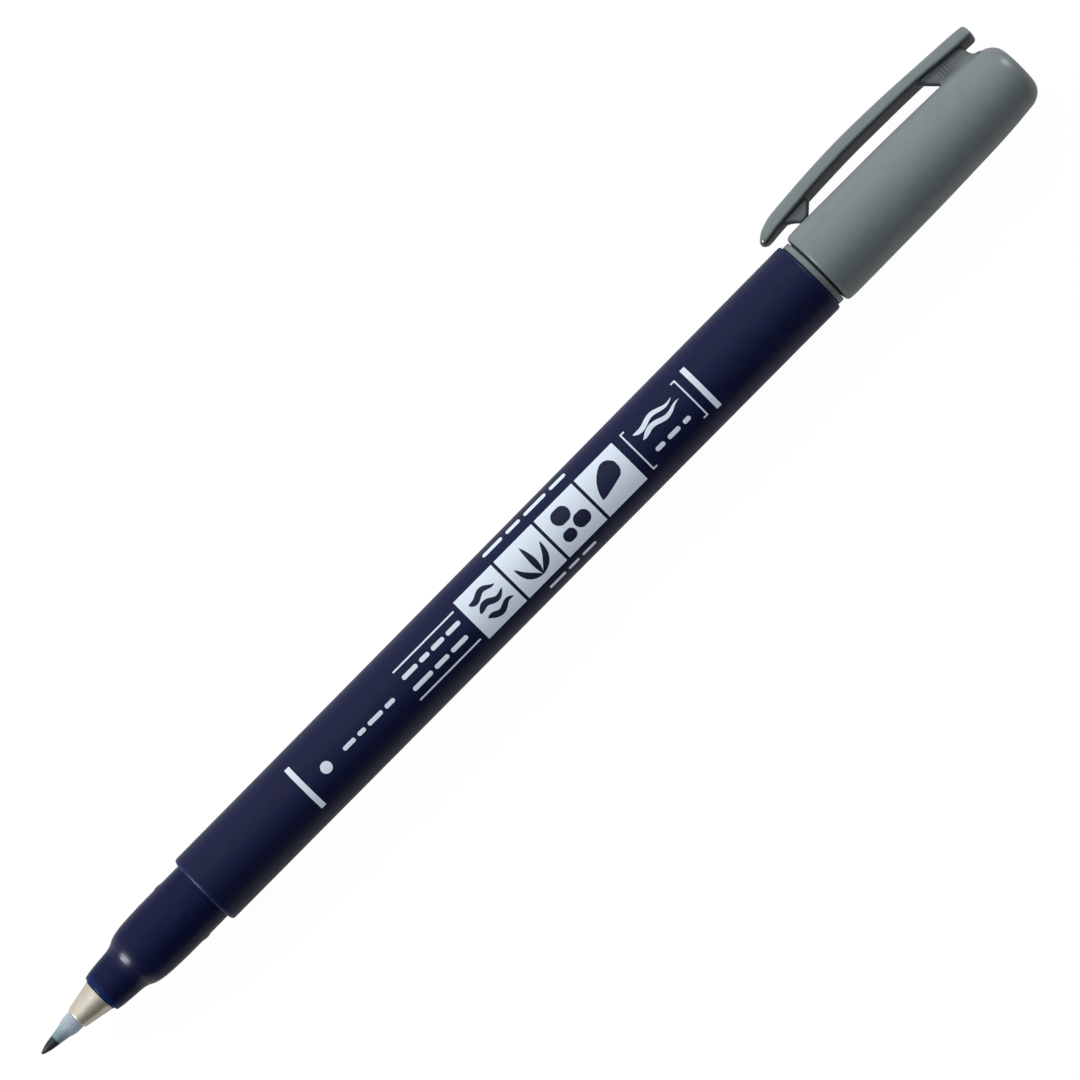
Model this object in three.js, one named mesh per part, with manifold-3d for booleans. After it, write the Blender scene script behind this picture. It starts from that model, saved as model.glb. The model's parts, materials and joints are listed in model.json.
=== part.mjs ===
// Calligraphy marker: a slim brush pen lying on its side, with its cap posted on its tail.
//
// Millimetres. Each piece is drawn upright in the pen's own space: Y runs along the axis from the point
// of the nib to the end of the cap, and X points from the axis to the middle of the clip. A place along
// Y is called a station. At the end the whole pen is laid down: nib towards +X, +Z up, resting on its
// cap and on one edge of its clip.

import * as THREE from 'three';
import { mergeVertices } from 'three/addons/utils/BufferGeometryUtils.js';
import Module from 'manifold-3d';

const wasm = await Module();
wasm.setup();

// ---------------------------------------------------------------------------
// Driving dimensions
// ---------------------------------------------------------------------------

// Stations of the outside, from the nib to the cap.
const HOLDER_MOUTH = 5.85;
const NOSE_FRONT = 9.7;
const SHOULDER_START = 13.6;
const SHOULDER_END = 16.8;
const PIP_STATION = 23.4;
const BARREL_FRONT = 26.95;
const BARREL_REAR = 127.95;
const CAP_LIP = 129.1;
const CAP_END = 162.6;
const CLIP_TIP = 126.65;
const CLIP_HINGE = 152.6;
const CLIP_ROOT = 161.7;

// Radii of the outside.
const NIB_RADIUS = 1.22;
const HOLDER_MOUTH_RADIUS = 1.43;
const HOLDER_RADIUS = 2.18;
const NOSE_RIM_RADIUS = 2.65;
const NOSE_RADIUS = 3.04;
const SECTION_RADIUS = 4.12;
const BARREL_FRONT_RADIUS = 4.86;
const BARREL_REAR_RADIUS = 5.02;
const COLLAR_RADIUS = 4.64;
const CAP_RADIUS = 5.18;
const CAP_CROWN_RADIUS = 4.45;
const CAP_FLAT_RADIUS = 2.4;

// Fits between the pieces, as radial gaps.
const PUSH_GAP = 0.07;
const TURNING_GAP = 0.1;
const AXIAL_GAP = 0.3;

// Inside of the pen.
const BARREL_BORE = SECTION_RADIUS + PUSH_GAP;
const SECTION_BORE = HOLDER_RADIUS + PUSH_GAP;
const SECTION_REAR_BORE = 3.2;
const SECTION_REAR = 38;
const HOLDER_FLANGE_FRONT = 18;
const HOLDER_FLANGE_RADIUS = 3.05;
const HOLDER_REAR = 19.4;
const FEED_RADIUS = 1.0;
const FEED_REAR = 50;
const CORE_FRONT = 39;
const CORE_REAR = 114;
const CORE_RADIUS = 3.55;
const SLEEVE_THICKNESS = 0.15;
const PLUG_FRONT = 119;
const PLUG_BORE = 3.0;
const POST_LENGTH = 10.5;
const POST_RADIUS = 4.1;

// Inside of the cap.
const CAP_BORE = 4.27;
const CAP_END_WALL = 1.35;
const LINER_DEPTH = 12.5;
const LINER_LENGTH = 16.8;
const LINER_BORE = 3.15;
const LINER_CHAMBER = 2.6;
const LINER_END_WALL = 1.1;

// Clip: how far its bow reaches from the axis, half of its width, and half of its two webs' thickness.
const CLIP_REACH = 9.33;
const CLIP_HALF_WIDTH = 1.58;
const WEB_HALF_WIDTH = 0.6;

// The pen lies rolled over until the outer edge of the clip's bow is as low as the cap.
const BOW_CORNER = Math.hypot(CLIP_REACH, CLIP_HALF_WIDTH);
const REST_ROLL = Math.asin(CAP_RADIUS / BOW_CORNER) - Math.atan2(CLIP_HALF_WIDTH, CLIP_REACH);

const ROUND_SIDES = 48;
const SMALL_SIDES = 24;

// ---------------------------------------------------------------------------
// Materials
// ---------------------------------------------------------------------------

function finish(color, roughness, metalness = 0) {
  return new THREE.MeshStandardMaterial({ color, roughness, metalness });
}

const navyPlastic = finish(0x1a1d42, 0.42);
const navyNose = finish(0x171a45, 0.35);
const greyPlastic = finish(0x7f898c, 0.5);
const champagnePlastic = finish(0xc9bfa8, 0.22, 0.35);
const nibPlastic = finish(0x93a3b4, 0.45);
const linerPlastic = finish(0xd9dcdc, 0.55);
const feedFibre = finish(0x4a5356, 0.9);
const coreFibre = finish(0x5c6467, 0.95);
const sleeveFilm = finish(0xe6e8ea, 0.3);

// ---------------------------------------------------------------------------
// Outlines and solids
// ---------------------------------------------------------------------------

const at = (radius, station) => new THREE.Vector2(radius, station);

// Quarter ellipse from the edge of a flat face, at `from`, to a side wall, at `to`.
function faceToSide(from, to, steps = 4) {
  const points = [];
  for (let i = 0; i <= steps; i += 1) {
    const turn = (i / steps) * (Math.PI / 2);
    const radius = from.x + (to.x - from.x) * Math.sin(turn);
    const station = to.y + (from.y - to.y) * Math.cos(turn);
    points.push(at(radius, station));
  }
  return points;
}

// Quarter ellipse from a side wall, at `from`, to the edge of a flat face, at `to`.
const sideToFace = (from, to, steps = 4) => faceToSide(to, from, steps).reverse();

// S-shaped step from one radius to another, level at both ends.
function shoulder(from, to, steps = 8) {
  const points = [];
  for (let i = 0; i <= steps; i += 1) {
    const rise = (1 - Math.cos((i / steps) * Math.PI)) / 2;
    points.push(at(from.x + (to.x - from.x) * rise, from.y + ((to.y - from.y) * i) / steps));
  }
  return points;
}

// Smooth curve through a few points.
const curved = (points, steps) => new THREE.SplineCurve(points).getPoints(steps);

// Solid of revolution. The outline keeps the material on its left.
const turned = (outline, sides = ROUND_SIDES) => new THREE.LatheGeometry(outline, sides);

// Ring-shaped solid of revolution: the outline is closed back onto its first point.
const turnedRing = (outline, sides = ROUND_SIDES) => turned([...outline, outline[0].clone()], sides);

// A shape drawn in the XY plane, thickened by the same amount on both sides of it.
function slab(outline, halfThickness) {
  const shape = new THREE.Shape(outline);
  const geometry = new THREE.ExtrudeGeometry(shape, { depth: 2 * halfThickness, bevelEnabled: false });
  return geometry.translate(0, 0, -halfThickness);
}

// Closed three.js geometry to a manifold solid, without the slivers that a lathe leaves on its axis.
function toSolid(geometry) {
  const bare = geometry.clone();
  bare.deleteAttribute('normal');
  bare.deleteAttribute('uv');
  const merged = mergeVertices(bare, 1e-4);
  const corners = merged.index.array;
  const triangles = [];
  for (let i = 0; i < corners.length; i += 3) {
    const [a, b, c] = corners.slice(i, i + 3);
    if (a !== b && b !== c && c !== a) triangles.push(a, b, c);
  }
  const vertProperties = new Float32Array(merged.attributes.position.array);
  const triVerts = new Uint32Array(triangles);
  return new wasm.Manifold(new wasm.Mesh({ numProp: 3, vertProperties, triVerts }));
}

function toGeometry(solid) {
  const { vertProperties, triVerts } = solid.getMesh();
  const geometry = new THREE.BufferGeometry();
  geometry.setAttribute('position', new THREE.BufferAttribute(vertProperties, 3));
  geometry.setIndex(new THREE.BufferAttribute(triVerts, 1));
  geometry.computeVertexNormals();
  return geometry;
}

function piece(parent, name, geometry, material) {
  const mesh = new THREE.Mesh(geometry, material);
  mesh.name = name;
  parent.add(mesh);
}

// ---------------------------------------------------------------------------
// Nib end
// ---------------------------------------------------------------------------

// Soft brush nib. Behind the holder's mouth it ends in a half ball, centred where the nib bends.
function brushNib() {
  const visible = curved([
    at(0, 0),
    at(0.17, 0.15),
    at(0.37, 0.7),
    at(0.6, 1.7),
    at(0.745, 2.7),
    at(0.92, 3.7),
    at(NIB_RADIUS - 0.02, 4.7),
    at(NIB_RADIUS, HOLDER_MOUTH),
  ], 16);
  const root = sideToFace(at(NIB_RADIUS, HOLDER_MOUTH), at(0, HOLDER_MOUTH + NIB_RADIUS), 6).slice(1);
  return turned([...visible, ...root], SMALL_SIDES);
}

// Glossy cone with a straight shank and a flange that stops it in the nose.
function nibHolder() {
  const mouthBore = NIB_RADIUS + PUSH_GAP;
  const mouthDepth = HOLDER_MOUTH + NIB_RADIUS + TURNING_GAP;
  const mouthRounding = 0.1;
  const rearBore = FEED_RADIUS + PUSH_GAP;
  return turnedRing([
    at(mouthBore, HOLDER_MOUTH),
    ...faceToSide(
      at(HOLDER_MOUTH_RADIUS - mouthRounding, HOLDER_MOUTH),
      at(HOLDER_MOUTH_RADIUS, HOLDER_MOUTH + mouthRounding),
      2,
    ),
    at(HOLDER_RADIUS, NOSE_FRONT),
    at(HOLDER_RADIUS, HOLDER_FLANGE_FRONT),
    at(HOLDER_FLANGE_RADIUS, HOLDER_FLANGE_FRONT),
    at(HOLDER_FLANGE_RADIUS, HOLDER_REAR),
    at(rearBore, HOLDER_REAR),
    at(rearBore, mouthDepth),
    at(mouthBore, mouthDepth),
  ], SMALL_SIDES);
}

// Relay core from the nib into the reservoir.
function inkFeed() {
  const front = HOLDER_MOUTH + NIB_RADIUS + AXIAL_GAP;
  const taper = 0.6;
  return turned([
    at(0, front),
    at(FEED_RADIUS / 2, front),
    at(FEED_RADIUS, front + taper),
    at(FEED_RADIUS, FEED_REAR - taper),
    at(FEED_RADIUS / 2, FEED_REAR),
    at(0, FEED_REAR),
  ], SMALL_SIDES);
}

// Nose of the pen, with the shoulder, four snap pips for the cap and a spigot inside the barrel.
function frontSection() {
  const step = HOLDER_FLANGE_FRONT - AXIAL_GAP;
  const rearChamfer = 0.4;
  const body = turnedRing([
    at(SECTION_BORE, NOSE_FRONT),
    ...curved([
      at(SECTION_BORE + 0.1, NOSE_FRONT),
      at(NOSE_RIM_RADIUS, NOSE_FRONT + 0.45),
      at(NOSE_RIM_RADIUS + 0.13, NOSE_FRONT + 1),
      at(NOSE_RADIUS - 0.11, NOSE_FRONT + 2.5),
    ], 7),
    ...shoulder(at(NOSE_RADIUS, SHOULDER_START), at(SECTION_RADIUS - 0.1, SHOULDER_END)),
    at(SECTION_RADIUS, SHOULDER_END + 4),
    at(SECTION_RADIUS, SECTION_REAR - rearChamfer),
    at(SECTION_RADIUS - rearChamfer, SECTION_REAR),
    at(SECTION_REAR_BORE, SECTION_REAR),
    at(SECTION_REAR_BORE, step),
    at(SECTION_BORE, step),
  ]);
  const pipCount = 4;
  const pipHeight = 0.09;
  const pipHalfLength = 0.68;
  const pipHalfWidth = 0.8;
  let nose = toSolid(body);
  for (let i = 0; i < pipCount; i += 1) {
    const pip = new THREE.SphereGeometry(1, 12, 8);
    pip.scale(2 * pipHeight, pipHalfLength, pipHalfWidth);
    pip.translate(SECTION_RADIUS - pipHeight, PIP_STATION, 0);
    pip.rotateY((i / pipCount) * 2 * Math.PI + REST_ROLL);
    nose = nose.add(toSolid(pip));
  }
  return toGeometry(nose);
}

// ---------------------------------------------------------------------------
// Barrel, reservoir and tail
// ---------------------------------------------------------------------------

// Slightly tapered tube, flat and then rounded at the front rim, rounded at the rear rim.
function barrel() {
  const frontFlat = 0.3;
  const frontRounding = 0.55;
  const rearRounding = 0.45;
  return turnedRing([
    at(BARREL_BORE, BARREL_FRONT),
    ...faceToSide(
      at(BARREL_BORE + frontFlat, BARREL_FRONT),
      at(BARREL_FRONT_RADIUS, BARREL_FRONT + frontRounding),
    ),
    ...sideToFace(
      at(BARREL_REAR_RADIUS, BARREL_REAR - rearRounding),
      at(BARREL_REAR_RADIUS - rearRounding, BARREL_REAR),
    ),
    at(BARREL_BORE, BARREL_REAR),
  ]);
}

// Fibre bundle with the blind hole that the feed sits in.
function inkReservoir() {
  const hole = FEED_RADIUS + TURNING_GAP;
  const holeEnd = FEED_REAR + AXIAL_GAP;
  return turned([
    at(0, holeEnd),
    at(hole, holeEnd),
    at(hole, CORE_FRONT),
    at(CORE_RADIUS, CORE_FRONT),
    at(CORE_RADIUS, CORE_REAR),
    at(0, CORE_REAR),
  ], SMALL_SIDES);
}

function reservoirSleeve() {
  const inside = CORE_RADIUS + TURNING_GAP;
  const outside = inside + SLEEVE_THICKNESS;
  return turnedRing([
    at(inside, CORE_FRONT),
    at(outside, CORE_FRONT),
    at(outside, CORE_REAR),
    at(inside, CORE_REAR),
  ], SMALL_SIDES);
}

// Plug in the barrel's tail: spigot, visible collar, and the hollow post that the cap is posted on.
function tailPlug() {
  const spigotRadius = BARREL_BORE - PUSH_GAP;
  const collarFront = BARREL_REAR + PUSH_GAP;
  const collarRear = collarFront + 0.85;
  const collarEdge = 0.15;
  const postRear = CAP_LIP + POST_LENGTH;
  const postRounding = 0.8;
  const endWall = 1.3;
  return turned([
    at(0, postRear - endWall),
    at(PLUG_BORE, postRear - endWall),
    at(PLUG_BORE, PLUG_FRONT),
    at(spigotRadius, PLUG_FRONT),
    at(spigotRadius, collarFront),
    at(COLLAR_RADIUS - collarEdge, collarFront),
    at(COLLAR_RADIUS, collarFront + collarEdge),
    at(COLLAR_RADIUS, collarRear - collarEdge),
    at(COLLAR_RADIUS - collarEdge, collarRear),
    at(POST_RADIUS, collarRear),
    ...sideToFace(at(POST_RADIUS, postRear - postRounding), at(POST_RADIUS - postRounding, postRear), 3),
    at(0, postRear),
  ]);
}

// ---------------------------------------------------------------------------
// Cap and clip
// ---------------------------------------------------------------------------

// Outside of the cap from its lip to its closed end.
function capOutline() {
  const lipRounding = 0.45;
  const crownStart = CAP_END - 2.3;
  return [
    ...faceToSide(at(CAP_RADIUS - lipRounding, CAP_LIP), at(CAP_RADIUS - 0.05, CAP_LIP + lipRounding), 3),
    at(CAP_RADIUS, CAP_LIP + 1.5),
    ...curved([
      at(CAP_RADIUS, CAP_LIP + 2.5),
      at(CAP_RADIUS - 0.07, CAP_LIP + 15.5),
      at(CAP_RADIUS - 0.23, CAP_LIP + 22.4),
      at(CAP_RADIUS - 0.34, CAP_LIP + 26),
      at(CAP_RADIUS - 0.52, CAP_LIP + 28.9),
    ], 8),
    ...sideToFace(at(CAP_CROWN_RADIUS, crownStart), at(CAP_FLAT_RADIUS, CAP_END), 7),
    at(0, CAP_END),
  ];
}

// Cap wall and closed end, hollow to the lip.
function capWall() {
  const cavityEnd = CAP_END - CAP_END_WALL;
  const cavityRadius = 3.65;
  const cavityBevel = 0.65;
  const leadIn = 0.15;
  return turned([
    at(0, cavityEnd),
    at(cavityRadius - cavityBevel, cavityEnd),
    at(cavityRadius, cavityEnd - cavityBevel),
    at(cavityRadius + 0.2, cavityEnd - 2.85),
    at(CAP_BORE, cavityEnd - 7.25),
    at(CAP_BORE, CAP_LIP + leadIn),
    at(CAP_BORE + leadIn, CAP_LIP),
    ...capOutline(),
  ]);
}

// The clip arm from its tip to its root: station, middle of its thickness, half thickness, half width.
const ARM = [
  [CLIP_TIP + 0.5, 7.31, 0.55, 0.8],
  [CLIP_TIP + 1.1, 7.46, 0.69, 0.95],
  [CLIP_TIP + 2.3, 7.73, 0.81, 1.08],
  [CLIP_TIP + 3.4, 7.91, 0.88, 1.15],
  [CLIP_TIP + 6.5, 8.12, 0.9, 1.38],
  [CLIP_TIP + 10, 8.32, 0.87, 1.52],
  [CLIP_TIP + 15, CLIP_REACH - 0.86, 0.86, CLIP_HALF_WIDTH],
  [CLIP_TIP + 20, 8.38, 0.84, CLIP_HALF_WIDTH],
  [CLIP_TIP + 24, 8.24, 0.79, 1.56],
  [CLIP_TIP + 27, 8.07, 0.77, 1.53],
  [CLIP_TIP + 30, 7.83, 0.82, 1.5],
  [CLIP_TIP + 33, 7.6, 0.86, 1.46],
];
const ARM_ROOT_MIDDLE = 7.43;
const ARM_ROOT_HALF_THICKNESS = 0.82;
const ARM_ROOT_HALF_WIDTH = 1.42;
const ARM_ROOT_ROUNDING = 0.5;

// Side view of the arm: out along its bowed back, round its root and back along its inner face.
function armOutline() {
  const tipMiddle = 7.26;
  const tipFlat = 0.3;
  const side = (sign) => {
    const root = ARM_ROOT_MIDDLE + sign * ARM_ROOT_HALF_THICKNESS;
    const face = curved([
      at(tipMiddle + sign * tipFlat, CLIP_TIP),
      ...ARM.map(([station, middle, halfThickness]) => at(middle + sign * halfThickness, station)),
      at(root, CLIP_ROOT - ARM_ROOT_ROUNDING),
    ], 26);
    return [...face, at(root - sign * ARM_ROOT_ROUNDING, CLIP_ROOT)];
  };
  return [...side(1), ...side(-1).reverse()];
}

// Plan view of the arm: narrow rounded tip, full width in the bow, rounded root.
function armPlan() {
  const tipHalfWidth = 0.4;
  const edge = [
    ...curved([
      at(tipHalfWidth, CLIP_TIP),
      ...ARM.map(([station, , , halfWidth]) => at(halfWidth, station)),
      at(ARM_ROOT_HALF_WIDTH, CLIP_ROOT - ARM_ROOT_ROUNDING),
    ], 26),
    at(ARM_ROOT_HALF_WIDTH - ARM_ROOT_ROUNDING, CLIP_ROOT),
  ];
  const otherEdge = edge.map((point) => at(-point.x, point.y)).reverse();
  return [...edge, ...otherEdge];
}

function clipArm() {
  const room = 1;
  const sideView = slab(armOutline(), CLIP_HALF_WIDTH + room);
  const planView = slab(armPlan(), CLIP_REACH + room).rotateY(-Math.PI / 2);
  return toSolid(sideView).intersect(toSolid(planView));
}

// Everything between two stations, wide enough to cut the clip with.
function between(firstStation, lastStation) {
  const size = 30;
  const length = lastStation - firstStation;
  const box = new THREE.BoxGeometry(size, length, size);
  return toSolid(box.translate(0, (firstStation + lastStation) / 2, 0));
}

// Bridge between cap and clip, with a slanted front and an oval notch under the clip's root.
function clipBridge() {
  const front = CLIP_HINGE + 0.55;
  const footFront = front + 2.6;
  const rear = CAP_END - 1.6;
  const inArm = 7.4;
  const inWall = 4.15;
  const notchMiddle = 5.95;
  const notchHeight = 1.25;
  const notchDepth = 1.2;
  const notchSteps = 8;
  const notch = [];
  for (let i = 0; i <= notchSteps; i += 1) {
    const turn = (i / notchSteps) * Math.PI;
    const radius = notchMiddle - notchHeight * Math.cos(turn);
    notch.push(at(radius, rear - notchDepth * Math.sin(turn)));
  }
  return slab([
    at(inArm + 0.5, front),
    at(inArm, front),
    at(inWall, footFront),
    at(inWall, rear),
    ...notch,
    at(inArm, rear),
  ], WEB_HALF_WIDTH);
}

function capShell() {
  const root = clipArm().intersect(between(CLIP_HINGE + AXIAL_GAP / 2, CAP_END));
  return toGeometry(toSolid(capWall()).add(toSolid(clipBridge())).add(root));
}

// Wedge under the arm's tip that grips a pocket: a long front flank, a blunt tip, a steep rear flank.
function clipWedge() {
  const tipFront = CLIP_TIP + 5.25;
  const tipRear = tipFront + 1;
  const tipRadius = 5.4;
  const inArm = 7.5;
  return slab([
    at(inArm, tipFront - 2.5),
    at(tipRadius + 1.6, tipFront - 1.8),
    at(tipRadius + 0.8, tipFront - 0.65),
    at(tipRadius, tipFront),
    at(tipRadius, tipRear),
    at(tipRadius + 0.9, tipRear + 0.4),
    at(tipRadius + 1.6, tipRear + 1.5),
    at(inArm, tipRear + 1.8),
  ], WEB_HALF_WIDTH);
}

// Free part of the clip.
function clip() {
  const arm = clipArm().intersect(between(0, CLIP_HINGE - AXIAL_GAP / 2));
  return toGeometry(arm.add(toSolid(clipWedge())));
}

// Seal liner: a cup that opens towards the lip, with a sealing ring just inside its mouth.
function innerCap() {
  const mouth = CAP_LIP + LINER_DEPTH;
  const end = mouth + LINER_LENGTH;
  const outside = CAP_BORE - TURNING_GAP;
  const flare = 0.3;
  const sealHeight = 0.13;
  const sealLength = 0.8;
  const boreEnd = mouth + 7;
  const taperStart = end - 5.3;
  return turned([
    at(0, end - LINER_END_WALL),
    at(LINER_CHAMBER, end - LINER_END_WALL),
    at(LINER_CHAMBER, boreEnd + 2),
    at(LINER_BORE, boreEnd),
    at(LINER_BORE, mouth + 2 * sealLength),
    at(LINER_BORE - sealHeight, mouth + sealLength),
    at(LINER_BORE + flare, mouth),
    at(outside, mouth),
    at(outside, taperStart),
    at(outside - 0.5, end - 1),
    at(outside - 1.2, end),
    at(0, end),
  ]);
}

// ---------------------------------------------------------------------------
// Assembly
// ---------------------------------------------------------------------------

const pen = new THREE.Group();

const nibEnd = new THREE.Group();
piece(nibEnd, 'brush_nib', brushNib(), nibPlastic);
piece(nibEnd, 'nib_holder', nibHolder(), champagnePlastic);
piece(nibEnd, 'ink_feed', inkFeed(), feedFibre);
piece(nibEnd, 'front_section', frontSection(), navyNose);

const body = new THREE.Group();
piece(body, 'barrel', barrel(), navyPlastic);
piece(body, 'ink_reservoir', inkReservoir(), coreFibre);
piece(body, 'reservoir_sleeve', reservoirSleeve(), sleeveFilm);
piece(body, 'tail_plug', tailPlug(), greyPlastic);

const cap = new THREE.Group();
piece(cap, 'cap_shell', capShell(), greyPlastic);
piece(cap, 'inner_cap', innerCap(), linerPlastic);
piece(cap, 'clip', clip(), greyPlastic);

pen.add(nibEnd, body, cap);

// Lay the pen down with its nib towards +X.
pen.rotation.set(Math.PI + REST_ROLL, 0, Math.PI / 2);

// The origin is the middle of the pen's footprint, on the table.
const marker = new THREE.Group();
marker.add(pen);
marker.updateMatrixWorld(true);
const bounds = new THREE.Box3().setFromObject(marker, true);
const centre = bounds.getCenter(new THREE.Vector3());
pen.position.set(-centre.x, -centre.y, -bounds.min.z);

export default marker;
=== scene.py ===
"""Looks of the calligraphy marker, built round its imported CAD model.

The pen lies along X with its nib towards +X and its cap posted on its tail. Places on it are given in
millimetres as (radius, station): the distance from the pen's axis, and the distance behind the nib's point.
"""

import json
import math

import bmesh
import bpy
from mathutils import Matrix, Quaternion, Vector

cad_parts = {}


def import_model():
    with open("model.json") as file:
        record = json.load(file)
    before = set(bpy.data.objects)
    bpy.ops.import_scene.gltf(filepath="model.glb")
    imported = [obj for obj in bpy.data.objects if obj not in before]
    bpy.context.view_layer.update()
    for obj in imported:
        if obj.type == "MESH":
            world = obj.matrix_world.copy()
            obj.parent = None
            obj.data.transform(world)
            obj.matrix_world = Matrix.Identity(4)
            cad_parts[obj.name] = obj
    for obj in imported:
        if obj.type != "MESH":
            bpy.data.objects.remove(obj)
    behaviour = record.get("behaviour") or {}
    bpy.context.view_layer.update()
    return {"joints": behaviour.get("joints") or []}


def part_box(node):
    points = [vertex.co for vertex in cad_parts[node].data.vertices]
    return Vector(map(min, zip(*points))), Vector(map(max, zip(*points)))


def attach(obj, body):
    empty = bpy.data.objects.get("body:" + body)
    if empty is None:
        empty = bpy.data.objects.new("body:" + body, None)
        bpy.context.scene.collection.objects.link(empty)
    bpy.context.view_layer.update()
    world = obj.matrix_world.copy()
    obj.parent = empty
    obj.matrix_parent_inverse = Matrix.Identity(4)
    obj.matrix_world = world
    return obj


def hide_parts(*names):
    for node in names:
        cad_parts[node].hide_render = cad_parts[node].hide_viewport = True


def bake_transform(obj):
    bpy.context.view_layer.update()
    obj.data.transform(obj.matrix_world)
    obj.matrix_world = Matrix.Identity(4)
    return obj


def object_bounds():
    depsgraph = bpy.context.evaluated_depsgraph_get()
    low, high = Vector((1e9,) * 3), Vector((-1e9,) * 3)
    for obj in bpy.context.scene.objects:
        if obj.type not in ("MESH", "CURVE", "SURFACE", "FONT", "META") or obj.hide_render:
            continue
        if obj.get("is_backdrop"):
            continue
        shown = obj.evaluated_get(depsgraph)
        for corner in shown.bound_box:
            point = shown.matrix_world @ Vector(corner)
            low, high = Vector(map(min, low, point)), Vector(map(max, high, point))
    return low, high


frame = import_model()

# ----------------------------------------
# Places that come from the frame
# ----------------------------------------

MM = 0.001
JOINTS = {joint["name"]: joint for joint in frame["joints"]}

BARREL_LOW, BARREL_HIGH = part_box("barrel")
AXIS_Y = (BARREL_LOW.y + BARREL_HIGH.y) / 2
AXIS_Z = (BARREL_LOW.z + BARREL_HIGH.z) / 2
NIB_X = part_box("brush_nib")[1].x

# From the nib to the cap, from the axis to the clip, and across the clip.
BACK = Vector((-1, 0, 0))
ACROSS = Vector(JOINTS["clip_flex"]["axis"])
OUT = BACK.cross(ACROSS)


def station_of(x):
    """Distance behind the nib's point, in millimetres."""
    return (NIB_X - x) / MM


def stations(node):
    """Stations of a CAD node's front and rear ends."""
    low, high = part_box(node)
    return station_of(high.x), station_of(low.x)


HOLDER_MOUTH, HOLDER_REAR = stations("nib_holder")
NOSE_FRONT, SECTION_REAR = stations("front_section")
FEED_FRONT, FEED_REAR = stations("ink_feed")
CORE_FRONT, CORE_REAR = stations("ink_reservoir")
BARREL_FRONT, BARREL_REAR = stations("barrel")
PLUG_FRONT, POST_REAR = stations("tail_plug")
LINER_MOUTH, LINER_END = stations("inner_cap")
CAP_LIP, CAP_END = stations("cap_shell")
CLIP_TIP, CLIP_ROOT = stations("clip")[0], CAP_END - 0.9
CLIP_HINGE = station_of(JOINTS["clip_flex"]["pos_m"][0])
NIB_PIVOT = station_of(JOINTS["nib_bend"]["pos_m"][0])

# Radii of the design.
NIB_RADIUS = 1.22
HOLDER_MOUTH_RADIUS = 1.43
HOLDER_RADIUS = 2.18
NOSE_RADIUS = 3.04
SECTION_RADIUS = 4.12
BARREL_FRONT_RADIUS = 4.86
BARREL_REAR_RADIUS = (BARREL_HIGH.y - BARREL_LOW.y) / 2 / MM
BARREL_BORE = 4.19
COLLAR_RADIUS = 4.64
POST_RADIUS = 4.1
CAP_RADIUS = 5.18
CAP_BORE = 4.27

# Where the nose starts to swell, and the middle of the pips.
SHOULDER = NOSE_FRONT + 4
PIP_STATION = BARREL_FRONT - 3.55


def barrel_radius(station):
    share = (station - BARREL_FRONT) / (BARREL_REAR - BARREL_FRONT)
    return BARREL_FRONT_RADIUS + share * (BARREL_REAR_RADIUS - BARREL_FRONT_RADIUS)


def place(radius, station, turn):
    """Point at a radius and a station, turned from straight up towards the side away from the clip."""
    side = radius * math.sin(turn) * MM
    rise = radius * math.cos(turn) * MM
    return Vector((NIB_X - station * MM, AXIS_Y + side, AXIS_Z + rise))


def beside(out, station, across=0.0):
    """Point in the clip's own directions: out from the axis towards the clip, and across it."""
    axis_point = Vector((NIB_X, AXIS_Y, AXIS_Z))
    return axis_point + (BACK * station + OUT * out + ACROSS * across) * MM


# ----------------------------------------
# Outlines
# ----------------------------------------

def rounded(start, peak, end, steps):
    """Quarter ellipse from start to end, bulging towards peak."""
    points = []
    for i in range(steps + 1):
        turn = math.pi / 2 * i / steps
        first, last = math.sin(turn), 1 - math.cos(turn)
        points.append(tuple(
            s + (p - s) * first + (e - p) * last
            for s, p, e in zip(start, peak, end)
        ))
    return points


def corner(at, start, end, steps):
    """Rounded corner at a place. start and end are how far its two ends are from that place."""
    first, last = (tuple(a + b for a, b in zip(at, off)) for off in (start, end))
    return rounded(first, at, last, steps)


def curved(points, steps_each=6):
    """Smooth curve through points of any dimension (Catmull-Rom)."""
    padded = [points[0], *points, points[-1]]
    curve = []
    for before, a, b, after in zip(padded, padded[1:], padded[2:], padded[3:]):
        for i in range(steps_each):
            t = i / steps_each
            curve.append(tuple(
                0.5 * (2 * q + (r - p) * t + (2 * p - 5 * q + 4 * r - s) * t * t
                       + (3 * q - p - 3 * r + s) * t ** 3)
                for p, q, r, s in zip(before, a, b, after)
            ))
    curve.append(points[-1])
    return curve


def straight(start, end, steps):
    """Points from start to end, so that a long wall has rows of faces to carry detail."""
    return [
        tuple(s + (e - s) * i / steps for s, e in zip(start, end))
        for i in range(steps + 1)
    ]


def level(value, low, high):
    """Smooth step from 0 at low to 1 at high."""
    share = min(1.0, max(0.0, (value - low) / (high - low)))
    return share * share * (3 - 2 * share)


# ----------------------------------------
# Meshes
# ----------------------------------------

SHARP_ANGLE = math.radians(38)
SLIVER = 0.001 * MM


def add_object(name, data):
    thing = bpy.data.objects.new(name, data)
    bpy.context.scene.collection.objects.link(thing)
    return thing


def turn_outwards(mesh, merge=0.0):
    """Turns a closed mesh's faces outwards. Points nearer to each other than merge are joined first."""
    shaped = bmesh.new()
    shaped.from_mesh(mesh)
    if merge:
        bmesh.ops.remove_doubles(shaped, verts=shaped.verts, dist=merge)
        bmesh.ops.dissolve_degenerate(shaped, edges=shaped.edges, dist=merge)
    bmesh.ops.recalc_face_normals(shaped, faces=shaped.faces)
    if shaped.calc_volume(signed=True) < 0:
        bmesh.ops.reverse_faces(shaped, faces=shaped.faces)
    shaped.to_mesh(mesh)
    shaped.free()


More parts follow.
